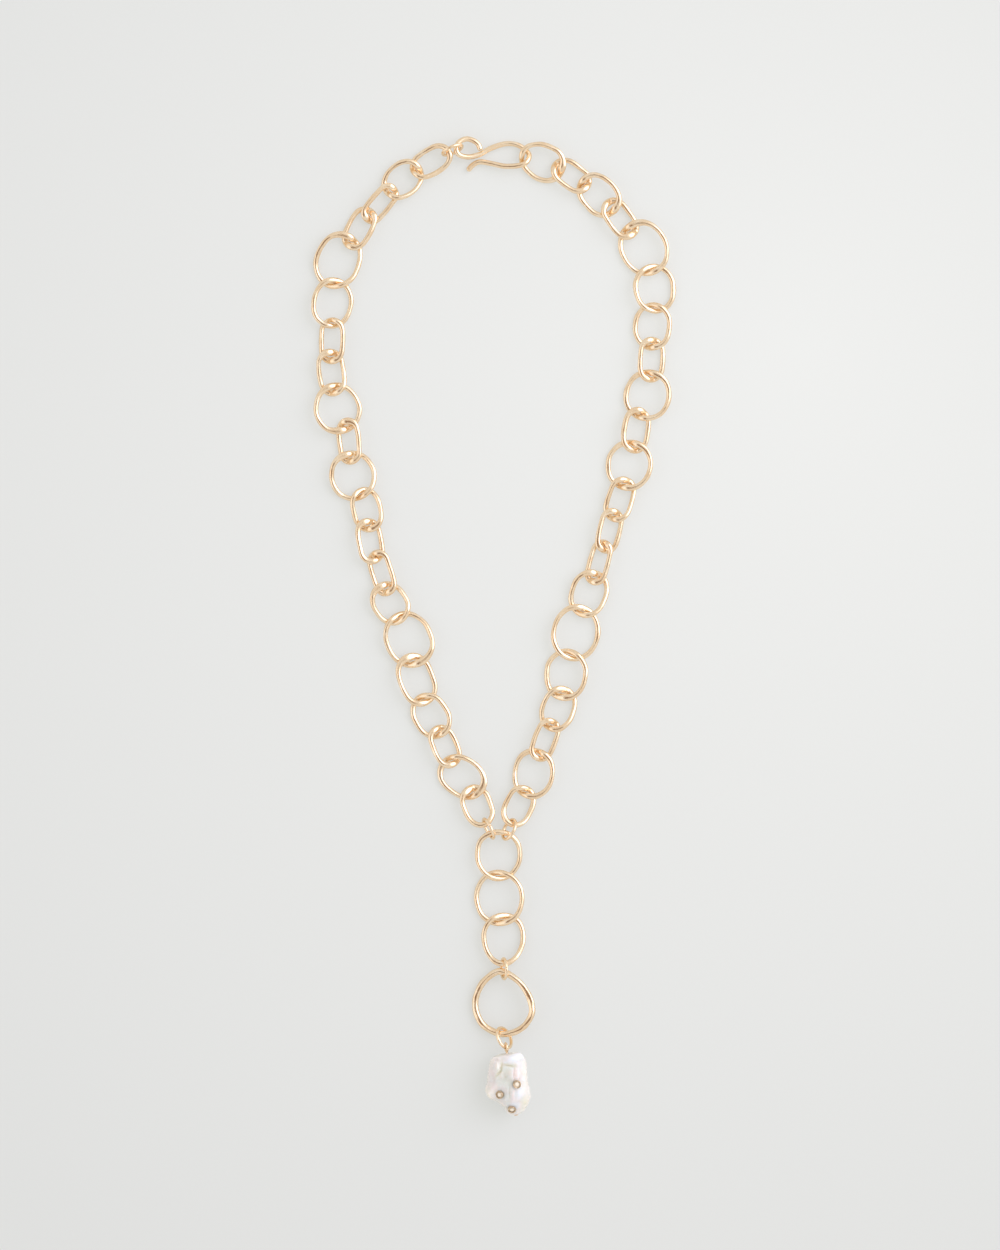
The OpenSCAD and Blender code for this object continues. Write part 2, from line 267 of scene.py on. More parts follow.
def set_at(spot, *turns):
    """A place in the necklace, turned by so many degrees about x, y and z."""
    turned = Euler([math.radians(turn) for turn in turns]).to_matrix().to_4x4()
    return Matrix.Translation(spot) @ turned


def over_under(point, start, end):
    """1 well to the right of the way from one row's place to the next one's, -1 to its left."""
    widths = [row[4] for row in (start, end) if row[4]]
    half = max(CROSS_HALF, CROSS_SHARE * min(widths))
    start, end = Vector(start[:2]), Vector(end[:2])
    way = (end - start).normalized()
    right = (point - start).dot(Vector((way.y, -way.x)))
    return math.sin(math.pi / 2 * clamp(right / half))


def tip_width(row, neighbour):
    """How broad a link's end is beaten, so that it and the neighbour's end fill their overlap."""
    if not neighbour[3]:
        return TIP_HELD
    apart = (Vector(neighbour[:2]) - Vector(row[:2])).length
    overlap = (row[3] + neighbour[3]) / 2 - apart
    return clamp((overlap / 2 - TIP_GAP) / LINK_WIRE, 1.0, TIP_MOST)


def side_of(a, b, c, s):
    """Distance aside of a link's middle line: an oval's, but straighter on a narrow link.

    a and b are the line's half length and half width, c and s the turn's cosine and sine."""
    past = max(0, a * abs(c) - max(0, a - b))
    straight = b * math.sqrt(max(0, 1 - (past / b) ** 2))
    share = STRAIGHTNESS * clamp(2 * (1 - b / a))
    return math.copysign(mix(b * abs(s), straight, share), s)


def link_line(row, before, after, count=112):
    """The closed middle line of one link, which weaves over and under its neighbours.

    Each point is its place and how broad the wire is there, 1 where it is round."""
    x, y, heading, length, width, swell, over = row[:7]
    square = row[7] if len(row) > 7 else 1
    here = Vector((x, y))
    ahead = on_circle(1, math.radians(heading)).xy
    aside = Vector((ahead.y, -ahead.x))
    line = []
    for k in range(count):
        turn = 2 * math.pi * k / count
        c, s = math.cos(turn), math.sin(turn)
        broad = mix(1, tip_width(row, before if c < 0 else after), abs(c) ** TIP_REACH)
        power = square if c < 0 else 1
        along = (length - LINK_WIRE * broad) / 2 * math.copysign(abs(c) ** power, c)
        out = side_of((length - LINK_WIRE) / 2, (width - LINK_WIRE) / 2, c, s) * (1 + swell * c)
        out *= 1 + STRAY * noise.noise(Vector((x + STRAY_PACE * c, y + STRAY_PACE * s, 0)))
        p = here + along * ahead + out * aside
        back = before[6] * over_under(p, before, row)
        front = -over * over_under(p, row, after)
        held = (before[6] if c < 0 else over) == 0
        z = REST + WEAVE * mix(back, front, (clamp(HANDOVER * c) + 1) / 2)
        line.append((Vector((p.x, p.y, z + (RING_LIFT * c * c if held else 0))), broad))
    return line


def chain_lines(rows, first, last):
    whole = [first] + rows + [last]
    return [link_line(whole[i], whole[i - 1], whole[i + 1]) for i in range(1, len(whole) - 1)]


def big_ring_line():
    """The big ring's closed middle line, which slopes a little from top to bottom and aside."""
    top, bottom = BIG_RING[0], BIG_RING[6]
    middle = (top[0] + bottom[0]) / 2
    line = []
    for p in curve_through([Vector((x, y, 0)) for x, y in BIG_RING], 12, True):
        share = (p.y - top[1]) / (bottom[1] - top[1])
        p.z = mix(BIG_TOP, BIG_BOTTOM, share) + (p.x - middle) * math.tan(math.radians(BIG_ROLL))
        line.append(p)
    return line


def jump_ring_line(row, count=96):
    """A jump ring's middle line, open by a hair where its ends meet."""
    x, y, z, heading, rise, lean, across = row
    place = set_at((x, y, z), lean, -rise, heading)
    turns = [math.radians(SLIT_AT + SLIT / 2 + (360 - SLIT) * k / count) for k in range(count + 1)]
    return [place @ on_circle(across / 2, turn) for turn in turns]


# Node trees


class Tree:
    """Adds nodes to a tree by kind, with their settings and inputs in one call."""

    def __init__(self, tree):
        self.tree = tree

    def add(self, kind, inputs=None, **settings):
        node = self.tree.nodes.new(kind)
        for name, value in settings.items():
            setattr(node, name, value)
        for name, value in (inputs or {}).items():
            if isinstance(value, bpy.types.NodeSocket):
                self.link(value, node.inputs[name])
            else:
                node.inputs[name].default_value = value
        return node

    def link(self, source, target):
        self.tree.links.new(source, target)

    def maths(self, operation, first, second):
        return self.add("ShaderNodeMath", {0: first, 1: second}, operation=operation).outputs[0]

    def vectors(self, operation, first, second):
        return self.add("ShaderNodeVectorMath", {0: first, 1: second}, operation=operation).outputs[0]

    def scaled(self, vector, scale):
        inputs = {0: vector, "Scale": scale}
        return self.add("ShaderNodeVectorMath", inputs, operation="SCALE").outputs[0]

    def stored(self, geometry, name, value):
        """A geometry with a vector kept on each of its points."""
        inputs = {"Geometry": geometry, "Name": name, "Value": value}
        return self.add(
            "GeometryNodeStoreNamedAttribute", inputs, data_type="FLOAT_VECTOR", domain="POINT",
        ).outputs[0]

    def named(self, name, kind):
        """What each point keeps under a name."""
        node = self.add("GeometryNodeInputNamedAttribute", {"Name": name}, data_type=kind)
        return node.outputs["Attribute"]


def wire_tree():
    """Sweeps round wire along the lines of a mesh, flattens it and gives it hammered facets.

    Each point's thick is the wire's diameter there, and its wide how much broader than high
    the wire is."""
    tree = bpy.data.node_groups.new("hammered_wire", "GeometryNodeTree")
    sockets = tree.interface
    sockets.new_socket("Lines", in_out="INPUT", socket_type="NodeSocketGeometry")
    names = {}
    for name, kind in (
        ("Sides", "NodeSocketInt"), ("Facet depth", "NodeSocketFloat"),
        ("Facets per metre", "NodeSocketFloat"), ("Facets round", "NodeSocketFloat"),
        ("Seed", "NodeSocketFloat"), ("Finish", "NodeSocketMaterial"),
    ):
        names[name] = sockets.new_socket(name, in_out="INPUT", socket_type=kind).identifier
    sockets.new_socket("Wire", in_out="OUTPUT", socket_type="NodeSocketGeometry")

    t = Tree(tree)
    given = t.add("NodeGroupInput").outputs
    curve = t.add("GeometryNodeMeshToCurve", {"Mesh": given["Lines"]}).outputs[0]
    position = t.add("GeometryNodeInputPosition").outputs[0]
    lines = t.stored(curve, "middle", position)
    ring = t.add("GeometryNodeCurvePrimitiveCircle", {"Radius": 0.5, "Resolution": given["Sides"]})
    tube = t.add(
        "GeometryNodeCurveToMesh",
        {"Curve": lines, "Profile Curve": ring.outputs["Curve"], "Scale": t.named("thick", "FLOAT"),
         "Fill Caps": True},
    ).outputs[0]
    # Broader in the flat and thinner in height, about the middle line
    middle = t.named("middle", "FLOAT_VECTOR")
    wide = t.named("wide", "FLOAT")
    thin = t.maths("DIVIDE", 1.0, wide)
    stretch = t.add("ShaderNodeCombineXYZ", {"X": wide, "Y": wide, "Z": thin}).outputs[0]
    out = t.vectors("SUBTRACT", position, middle)
    placed = t.vectors("ADD", middle, t.vectors("MULTIPLY", out, stretch))
    shaped = t.add("GeometryNodeSetPosition", {"Geometry": tube, "Position": placed}).outputs[0]
    # Long shallow facets: the noise changes slowly along the wire and fast round it
    facing = t.add("ShaderNodeVectorMath", {0: out}, operation="NORMALIZE").outputs[0]
    round_way = t.scaled(facing, given["Facets round"])
    along_way = t.scaled(middle, given["Facets per metre"])
    beaten = t.vectors("ADD", round_way, along_way)
    dents = t.add(
        "ShaderNodeTexNoise",
        {"Vector": beaten, "W": given["Seed"], "Scale": 1.0, "Detail": 1.0, "Roughness": 0.35},
        noise_dimensions="4D",
    ).outputs[0]
    deep = t.maths("MULTIPLY", t.maths("SUBTRACT", dents, 0.5), given["Facet depth"])
    # The broad ends are beaten smoother than the rest
    calm = t.maths("POWER", thin, 3.0)
    offset = t.scaled(facing, t.maths("MULTIPLY", deep, calm))
    dented = t.add("GeometryNodeSetPosition", {"Geometry": shaped, "Offset": offset}).outputs[0]
    grained = t.stored(dented, "grain", beaten)
    smooth = t.add("GeometryNodeSetShadeSmooth", {"Geometry": grained, "Shade Smooth": True}).outputs[0]
    finished = t.add("GeometryNodeSetMaterial", {"Geometry": smooth, "Material": given["Finish"]})
    t.add("NodeGroupOutput", {0: finished.outputs[0]})
    return tree, names


WIRE_TREE, WIRE_INPUTS = wire_tree()


# Making pieces


def new_piece(name, mesh):
    piece = bpy.data.objects.new(name, mesh)
    bpy.context.scene.collection.objects.link(piece)
    return piece


def carry(piece, node):
    """Puts a piece in the place of its CAD node."""
    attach(piece, "root")
    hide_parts(node)


def settle(piece):
    """Makes the result of a piece's modifiers its own plain mesh."""
    bpy.context.view_layer.update()
    seen = piece.evaluated_get(bpy.context.evaluated_depsgraph_get())
    mesh = bpy.data.meshes.new_from_object(seen)
    piece.modifiers.clear()
    piece.data = mesh
    mesh.name = piece.name


def wire_piece(name, node, lines, closed, thick, sides=24, facet=0.38, along=160, seed=0):
    """A piece of wire along one or more lines, in millimetres, that stands for a CAD node.

    Each line is a list of points with how broad the wire is there. facet is the depth of the
    hammered facets, in millimetres, and along how many there are to a metre of wire."""
    points, edges, thicks, wides = [], [], [], []
    for line in lines:
        first, n = len(points), len(line)
        points += [p * MM for p, broad in line]
        edges += [(first + i, first + (i + 1) % n) for i in range(n if closed else n - 1)]
        thicks += [thick(p) * MM for p, broad in line]
        wides += [broad for p, broad in line]
    mesh = bpy.data.meshes.new(name)
    mesh.from_pydata(points, edges, [])
    for label, values in (("thick", thicks), ("wide", wides)):
        mesh.attributes.new(label, "FLOAT", "POINT").data.foreach_set("value", values)
    piece = new_piece(name, mesh)
    sweep = piece.modifiers.new("sweep", "NODES")
    sweep.node_group = WIRE_TREE
    for label, value in (
        ("Sides", sides), ("Facet depth", facet * MM), ("Facets per metre", float(along)),
        ("Facets round", 0.9), ("Seed", float(seed)), ("Finish", WIRE_GOLD),
    ):
        sweep[WIRE_INPUTS[label]] = value
    settle(piece)
    # No facet reaches below the floor
    for vertex in piece.data.vertices:
        vertex.co.z = max(vertex.co.z, 0)
    for label in ("middle", "thick", "wide"):
        if label in piece.data.attributes:
            piece.data.attributes.remove(piece.data.attributes[label])
    carry(piece, node)


def plain(line):
    """A line of round wire."""
    return [(p, 1.0) for p in line]


def uneven(thickness, amount, seed, pitch=5.0):
    """Hand-drawn wire, a little thicker and thinner from place to place."""
    return lambda p: thickness * (1 + amount * noise.noise(p / pitch + Vector((seed, 0, 0))))


def mesh_piece(name, points, faces, finish):
    """A smooth piece from points in millimetres, with its faces turned outwards."""
    mesh = bpy.data.meshes.new(name)
    mesh.from_pydata([Vector(p) * MM for p in points], [], faces)
    mesh.materials.append(finish)
    mesh.polygons.foreach_set("use_smooth", [True] * len(mesh.polygons))
    bm = bmesh.new()
    bm.from_mesh(mesh)
    bmesh.ops.remove_doubles(bm, verts=bm.verts, dist=1e-7)
    bmesh.ops.recalc_face_normals(bm, faces=bm.faces)
    bm.to_mesh(mesh)
    bm.free()
    return new_piece(name, mesh)


def bands(rings, count):
    """Faces that join each ring of so many points to the next ring."""
    faces = []
    for first in range(0, (rings - 1) * count, count):
        for k in range(count):
            a, b = first + k, first + (k + 1) % count
            faces.append((a, b, b + count, a + count))
    return faces


# Finishes


def new_finish(name):
    material = bpy.data.materials.new(name)
    material.use_nodes = True
    t = Tree(material.node_tree)
    shader = material.node_tree.nodes["Principled BSDF"]
    place = t.add("ShaderNodeTexCoord").outputs["Object"]
    return material, t, shader, place


def even_finish(shader, **values):
    """Sets what is the same all over a finish, such as Coat_Weight, on the shader itself."""
    for name, value in values.items():
        shader.inputs[name.replace("_", " ")].default_value = value


def noise_at(t, place, scale, detail=2.0, roughness=0.5, stretch=None):
    if stretch:
        place = t.add("ShaderNodeMapping", {"Vector": place, "Scale": stretch}).outputs[0]
    return t.add(
        "ShaderNodeTexNoise",
        {"Vector": place, "Scale": scale, "Detail": detail, "Roughness": roughness},
    ).outputs["Fac"]


def ramp(t, fac, stops):
    node = t.add("ShaderNodeValToRGB", {"Fac": fac})
    elements = node.color_ramp.elements
    while len(elements) < len(stops):
        elements.new(0.5)
    for element, (at, colour) in zip(elements, stops):
        element.position = at
        element.color = (*colour, 1)
    return node.outputs["Color"]


def blend_colour(t, share, first, second):
    node = t.add("ShaderNodeMix", {0: share, 6: first, 7: second}, data_type="RGBA")
    return node.outputs[2]


def span(t, value, low, high):
    return t.add("ShaderNodeMapRange", {"Value": value, "To Min": low, "To Max": high}).outputs[0]


def bump(t, height, strength, distance, **more):
    inputs = {"Height": height, "Strength": strength, "Distance": distance, **more}
    return t.add("ShaderNodeBump", inputs).outputs[0]


# Tones of the polished wire and of the duller little settings, from low spots to high ones
WIRE_TONES = [(0.3, (0.9, 0.665, 0.43)), (0.52, (0.94, 0.735, 0.5)), (0.72, (0.965, 0.8, 0.59))]
SETTING_TONES = [(0.3, (0.46, 0.35, 0.23)), (0.52, (0.62, 0.49, 0.34)), (0.72, (0.78, 0.64, 0.47))]


def gold(name, drawn, tones):
    """Polished pale gold: warmer in its low spots, with fine rubs. On drawn wire the rubs are
    streaks that run along the wire."""
    material, t, shader, place = new_finish(name)
    even_finish(shader, Metallic=1, Specular_Tint=(1.0, 0.97, 0.9, 1))
    tone = noise_at(t, place, 260 if drawn else 900, 3)
    t.link(ramp(t, tone, tones), shader.inputs["Base Color"])
    if drawn:
        grain = t.add("ShaderNodeAttribute", attribute_name="grain").outputs["Vector"]
        streaks = noise_at(t, grain, 3.2, 3, 0.55)
    else:
        streaks = noise_at(t, place, 1400, 3, 0.5)
    rubs = noise_at(t, place, 2600, 3, 0.6)
    t.link(span(t, rubs, 0.15, 0.29), shader.inputs["Roughness"])
    coarse = bump(t, streaks, 0.25 if drawn else 0.15, 0.0002)
    t.link(bump(t, rubs, 0.08, 0.0001, Normal=coarse), shader.inputs["Normal"])
    return material


# The tints that play over the pearl: its own cloudy colours, and on its marks also painted highlights and
# shade
BLUE = (0.69, 0.76, 0.85)
ROSE = (0.83, 0.69, 0.66)
CREAM = (0.82, 0.78, 0.66)
OLIVE = (0.61, 0.59, 0.38)
SAGE = (0.63, 0.665, 0.61)
TAUPE = (0.66, 0.61, 0.58)


def nacre():
    """Lustrous pearl with painted shade and light: darker in its grooves and lighter on its swellings, with
    the tints of its marks and cloudy green, cream and rose ones. A faint glow of painted light lifts its
    shaded side."""
    material, t, shader, place = new_finish("nacre")
    relief = t.add("ShaderNodeAttribute", attribute_name="relief").outputs["Fac"]
    clouds = noise_at(t, place, 260, 3, 0.5)
    shifted = t.maths("ADD", relief, span(t, clouds, -0.3, 0.3))
    height = t.add("ShaderNodeMapRange", {"Value": shifted, "From Min": -0.9, "From Max": 1.1}).outputs[0]
    # Painted shade and light: the relief darkens the pearl's grooves and lightens its swellings
    body = ramp(
        t, height,
        [(0.05, (0.54, 0.5, 0.4)), (0.3, (0.63, 0.615, 0.55)), (0.45, (0.645, 0.635, 0.595)),
         (0.62, (0.66, 0.645, 0.615)), (0.9, (0.69, 0.7, 0.71))],
    )
    cloudy = ramp(
        t, noise_at(t, place, 230, 2, 0.5, (1, 1.2, 1)),
        [(0.3, CREAM), (0.45, SAGE), (0.57, ROSE), (0.72, BLUE)],
    )
    own = blend_colour(t, 0.25, body, cloudy)
    # The marks' tints: partly the pearl's own colours, partly painted highlight and shade
    mark = t.add("ShaderNodeAttribute", attribute_name="tint").outputs
    tinted = blend_colour(t, t.maths("MULTIPLY", mark["Alpha"], 0.6), own, mark["Color"])
    t.link(tinted, shader.inputs["Base Color"])
    # Painted light: the pearl glows faintly in its own colours, which lifts its shaded side
    t.link(tinted, shader.inputs["Emission Color"])
    skin = noise_at(t, place, 900, 2, 0.5)
    t.link(span(t, skin, 0.2, 0.32), shader.inputs["Roughness"])
    even_finish(
        shader, Emission_Strength=0.2, Specular_IOR_Level=0.3,
        Coat_Weight=0.15, Coat_Roughness=0.12, Coat_IOR=1.6,
        Subsurface_Weight=0.9, Subsurface_Scale=0.006, Subsurface_Radius=(1, 0.9, 0.8),
        Thin_Film_Thickness=420, Thin_Film_IOR=1.45,
    )
    t.link(bump(t, skin, 0.15, 0.0002), shader.inputs["Normal"])
    return material


def crystal():
    """Pale champagne crystal over a foil back, with a faint glow of painted light that keeps it bright."""
    material, t, shader, place = new_finish("crystal")
    glow = noise_at(t, place, 1500, 2)
    t.link(ramp(t, glow, [(0.3, (0.9, 0.79, 0.62)), (0.7, (0.96, 0.9, 0.8))]), shader.inputs["Base Color"])
    # Painted light: the stone glows faintly in a warm cream
    t.link(ramp(t, glow, [(0.3, (1, 0.86, 0.66)), (0.7, (1, 0.95, 0.85))]), shader.inputs["Emission Color"])
    t.link(span(t, noise_at(t, place, 3000), 0.0, 0.05), shader.inputs["Roughness"])
    even_finish(shader, Emission_Strength=0.12, IOR=2.1, Transmission_Weight=0.25)
    return material


WIRE_GOLD = gold("pale_gold_wire", True, WIRE_TONES)
SETTING_GOLD = gold("pale_gold_setting", False, SETTING_TONES)
NACRE = nacre()
CRYSTAL = crystal()


# Chains, rings and hook


def chains():
    sides = (("left", LEFT_LINKS, CLASP_AT), ("right", RIGHT_LINKS, HOOK_AT))
    for seed, (side, rows, start) in enumerate(sides, 1):
        wire_piece(
            f"{side}_chain_links", f"{side}_chain", chain_lines(rows, start, DROP_AT), True,
            uneven(LINK_WIRE, 0.1, seed), seed=seed,
        )


def drop_rings():
    for number, line in enumerate(chain_lines(DROP_RINGS, DROP_AT, BIG_RING_AT), 1):
        wire_piece(
            f"drop_ring_wire_{number}", f"drop_ring_{number}", [line], True,
            uneven(LINK_WIRE, 0.06, 3 + number), seed=2 + number,
        )


def big_ring():
    wire_piece(
        "big_ring_wire", "big_ring", [plain(big_ring_line())], True,
        uneven(BIG_WIRE, 0.05, 7), sides=28, facet=0.75, seed=7,
    )


def hook():
    line = curve_through([Vector(p) for p in HOOK], 10, False)
    even = uneven(HOOK_WIRE, 0.04, 0, 4)
    radius = HOOK_WIRE / 2

    def thick(p):
        """Full thickness, with a rounded tip and a lightly rounded cut end."""
        from_tip = (p - line[-1]).length
        from_cut = (p - line[0]).length
        if from_tip < radius:
            return even(p) * math.sqrt(max(0.02, 1 - (1 - from_tip / radius) ** 2))
        if from_cut < radius * CUT_ROUND:
            return even(p) * mix(CUT_LEFT, 1, from_cut / (radius * CUT_ROUND))
        return even(p)

    wire_piece("hook", "hook_clasp", [plain(line)], False, thick, facet=0.12, along=90, seed=8)


def jump_rings():
    for seed, (name, row) in enumerate(JUMP_RINGS.items(), 10):
        wire_piece(
            name + "_wire", name, [plain(jump_ring_line(row))], False, lambda p: JUMP_WIRE,
            sides=20, facet=0.04, seed=seed,
        )


# Head pin and pearl

ALONG_PIN = Matrix.Translation((PIN_START[0], PIN_START[1], PIN_HEIGHT)) @ Matrix.Rotation(
    math.radians(PIN_TURN), 4, "Z"
)


def head_pin_line():
    """Once round the loop, then straight down the pin and through the pearl."""
    lean = Matrix.Rotation(math.radians(LOOP_LEAN), 4, "X")
    turns = [LOOP_OPEN + (360 - LOOP_OPEN) * k / 48 for k in range(49)]
    line = [lean @ on_circle(LOOP_D / 2, math.radians(turn)) for turn in turns]
    end = PEARL_END + GAP
    line += [Vector((x, 0, 0)) for x in (LOOP_D / 2 + 0.25, LOOP_D / 2 + 1, 8, 14, 20, end)]
    line += [Vector((end + 0.05 * k, 0, 0)) for k in range(1, 9)]
    return [ALONG_PIN @ p for p in line]


def pin_thick(p):
    """The pin ends in a small flat head below the pearl."""
    past = (ALONG_PIN.inverted() @ p).x - (PEARL_END + GAP)
    if past < 0.02:
        return PIN_WIRE
    return PIN_HEAD_D * math.sqrt(max(0.1, 1 - (past / PIN_HEAD_H - 0.4) ** 2 / 0.4))


def head_pin():
    wire_piece(
        "head_pin_wire", "head_pin", [plain(head_pin_line())], False, pin_thick,
        sides=20, facet=0, seed=20,
    )


# Swellings and grooves of the pearl's upper side: x, y, half length, half width, turn of the
# long way, how far it stands up or sinks in, and its tint. The tints are partly the pearl's own colours and
# partly painted light and shade: the pale ones on swellings paint highlights, the olive ones in grooves
# paint shade.
PEARL_MARKS = [
    (8.0, -154.5, 2.9, 1.4, 14, 1.0, BLUE),
    (9.8, -155.3, 0.9, 0.5, 340, -0.3, SAGE),
    (5.6, -157.0, 2.2, 0.5, 352, -0.6, OLIVE),
    (1.5, -157.3, 1.5, 0.5, 268, 0.6, CREAM),
    (2.5, -157.9, 1.9, 0.45, 262, -0.65, OLIVE),
    (1.6, -160.0, 1.3, 0.5, 235, -0.5, OLIVE),
    (1.2, -155.3, 0.8, 0.5, 300, -0.3, TAUPE),
    (8.6, -160.0, 2.7, 0.65, 269, 0.65, ROSE),
    (7.5, -160.4, 2.1, 0.4, 268, -0.55, ROSE),
    (4.5, -161.3, 2.6, 1.9, 300, -0.55, SAGE),
    (10.4, -165.0, 1.7, 1.1, 290, 0.1, CREAM),
    (9.2, -167.4, 1.8, 1.1, 240, 0.55, BLUE),
    (7.0, -168.0, 1.7, 0.5, 266, 0.35, ROSE),
    (5.6, -167.0, 1.7, 0.4, 270, -0.45, SAGE),
    (11.2, -170.5, 1.7, 1.2, 260, 0.2, OLIVE),
    (-1.2, -167.2, 1.9, 1.3, 250, 0.5, CREAM),
    (0.3, -165.2, 1.2, 0.8, 250, 0.3, ROSE),
    (-0.2, -162.5, 2.4, 0.7, 280, -0.3, TAUPE),
    (-1.6, -159.4, 3.2, 1.1, 274, 0.25, TAUPE),
    (11.2, -159.8, 3.2, 1.1, 268, 0.2, CREAM),
    (4.2, -170.6, 1.8, 1.0, 300, 0.25, SAGE),
]
# How far a tint reaches past its mark, and how strongly it covers the pearl's own colour
TINT_REACH = 1.5
TINT_SHARE = 0.8
# A mark is felt as far as this, in its half lengths and half widths
MARK_REACH = 3


def pearl_section(share):
    """Half widths, height and depth of the pearl at a share of its length."""
    for i in range(len(PEARL) - 1):
        if share <= PEARL[i + 1][0]:
            break
    rows = [PEARL[max(i - 1, 0)], PEARL[i], PEARL[i + 1], PEARL[min(i + 2, len(PEARL) - 1)]]
    t = (share - rows[1][0]) / (rows[2][0] - rows[1][0])
    sizes = []
    for column in range(1, 5):
        a, b, c, d = (row[column] for row in rows)
        sizes.append(clamp(between(a, b, c, d, t), min(b, c), max(b, c)))
    return sizes


def pearl_blank():
    """The pearl's main shape, from its sections, with the start of its hole at both ends."""
    hole = [HOLE_R] * 4
    shares = [0.5 - 0.5 * math.cos(math.pi * i / PEARL_ALONG) for i in range(PEARL_ALONG + 1)]
    sections = [(HOLE_DEEP / PEARL_LEN, hole), (0, hole)]
    sections += [(share, pearl_section(share)) for share in shares]
    sections += [(1, hole), (1 - HOLE_DEEP / PEARL_LEN, hole)]
    points = []
    for share, (left, right, up, down) in sections:
        for k in range(PEARL_ROUND):
            a = 2 * math.pi * k / PEARL_ROUND
            across = (right if math.cos(a) > 0 else left) * math.cos(a)
            high = (up if math.sin(a) > 0 else down) * math.sin(a)
            points.append(ALONG_PIN @ Vector((PEARL_START + share * PEARL_LEN, across, high)))
    last = len(points) - PEARL_ROUND
    faces = bands(len(sections), PEARL_ROUND)
    faces.append(tuple(range(PEARL_ROUND - 1, -1, -1)))
    faces.append(tuple(range(last, len(points))))
    return mesh_piece("baroque_pearl", points, faces, NACRE)


def setting_place(row):
    x, y, z, turn, tip = row
    return set_at((x, y, z), 0, tip, turn)


def refine_seats(piece):
    """Splits the pearl's faces finely where the settings sit."""
    bm = bmesh.new()
    bm.from_mesh(piece.data)
    near = set()
    for row in SETTINGS:
        turned = setting_place(row).inverted()
        for vertex in bm.verts:
            local = turned @ (vertex.co / MM)
            if math.hypot(local.x, local.y) < SEAT_FINE and abs(local.z) < SEAT_REACH:
                near.add(vertex)
    edges = [edge for edge in bm.edges if edge.verts[0] in near and edge.verts[1] in near]
    bmesh.ops.subdivide_edges(bm, edges=edges, cuts=2, use_grid_fill=True)
    bm.to_mesh(piece.data)
    bm.free()


def marks_at(p, facing):
    """How far the pearl's swellings and grooves lift its skin at a place, in millimetres, and
    the tint that they give it there, partly its own colour and partly painted highlight and shade, with the
    tint's strength."""
    lift, strength, tint = 0, 0, Vector((0, 0, 0))
    for x, y, half_length, half_width, turn, height, colour in PEARL_MARKS:
        dx, dy = p.x - x, p.y - y
        c, s = math.cos(math.radians(turn)), math.sin(math.radians(turn))
        u, v = (dx * c + dy * s) / half_length, (dy * c - dx * s) / half_width
        far = u * u + v * v
        if far < MARK_REACH**2:
            lift += facing * height * math.exp(-far)
            weight = facing * math.exp(-far / TINT_REACH)
            strength += weight
            tint += weight * Vector(colour)
    return lift, (*(tint / max(strength, 1e-6)), TINT_SHARE * min(strength, 1))


def skin_at(p, upward):
    """How far the pearl's skin stands out of its main shape at a place, its relief and tint.

    upward is 1 on the upper side, which has the marks, and -1 on the underside."""
    waves = sum(height * noise.noise(p / pitch) for height, pitch in SKIN_WAVES)
    marked, tint = marks_at(p, clamp(upward * 1.6 + 0.4, 0, 1))
    from_hole = ALONG_PIN.inverted() @ p
    calm = clamp((math.hypot(from_hole.y, from_hole.z) - HOLE_R - 0.1) / 1.5, 0, 1)
    return (waves - SKIN_SUNK + marked) * calm, marked, tint


def seat_settings(p):
    """Moves a place on the pearl's skin into the pocket of the setting that stands there."""
    for row in SETTINGS:
        place = setting_place(row)
        local = place.inverted() @ p
        radius = math.hypot(local.x, local.y)
        if radius < SEAT_WALL and abs(local.z) < SEAT_REACH:
            sunk = clamp((1 - radius / SEAT_WALL) / SEAT_STEEP, 0, 1)
            spread = SEAT_WALL * min(1, radius / SEAT_WALL / (1 - SEAT_STEEP)) / max(radius, 1e-6)
            local = Vector((local.x * spread, local.y * spread, mix(local.z, -SETTING_H - 2 * GAP, sunk)))
            return place @ local
    return p


def pearl():
    piece = pearl_blank()
    refine_seats(piece)
    grown, reliefs, tints = [], [], []
    for vertex in piece.data.vertices:
        p = vertex.co / MM
        lift, relief, tint = skin_at(p, vertex.normal.z)
        p = seat_settings(p + vertex.normal * lift)
        p.z = max(p.z, 0.02)
        grown.append(p * MM)
        reliefs.append(relief)
        tints.extend(tint)
    for vertex, place in zip(piece.data.vertices, grown):
        vertex.co = place
    piece.data.attributes.new("relief", "FLOAT", "POINT").data.foreach_set("value", reliefs)
    piece.data.attributes.new("tint", "FLOAT_COLOR", "POINT").data.foreach_set("color", tints)
    carry(piece, "pearl")


# Settings and stones


def setting(number, row, count=64):
    """A turned cup whose lip is rolled over the stone's edge."""
    outer, inner = SETTING_D / 2, SETTING_D / 2 - SETTING_WALL
    # Distance from the cup's axis, and height above the middle of its rim
    profile = [
        (0, -SETTING_H), (outer - 0.1, -SETTING_H), (outer, -SETTING_H + 0.1), (outer, -0.35),
        (outer + 0.03, -0.1), (outer + 0.01, 0.1), (outer - 0.08, 0.22), (outer - 0.22, 0.26),
        (outer - 0.36, 0.2), (outer - 0.44, 0.08), (inner - 0.12, -0.04), (inner, -0.12),
        (inner, -0.65), (inner - 0.22, -0.66), (inner - 0.22, -SETTING_H + 0.15), (0, -SETTING_H + 0.15),
    ]
    place = setting_place(row)
    points = []
    for radius, z in profile:
        for k in range(count):
            a = 2 * math.pi * k / count
            worn = 0.03 * noise.noise(on_circle(1, a, number) * 2.2) if z > -0.2 else 0
            points.append(place @ on_circle(radius + worn, a, z + worn))
    piece = mesh_piece(f"setting_cup_{number}", points, bands(len(profile), count), SETTING_GOLD)
    carry(piece, f"setting_{number}")


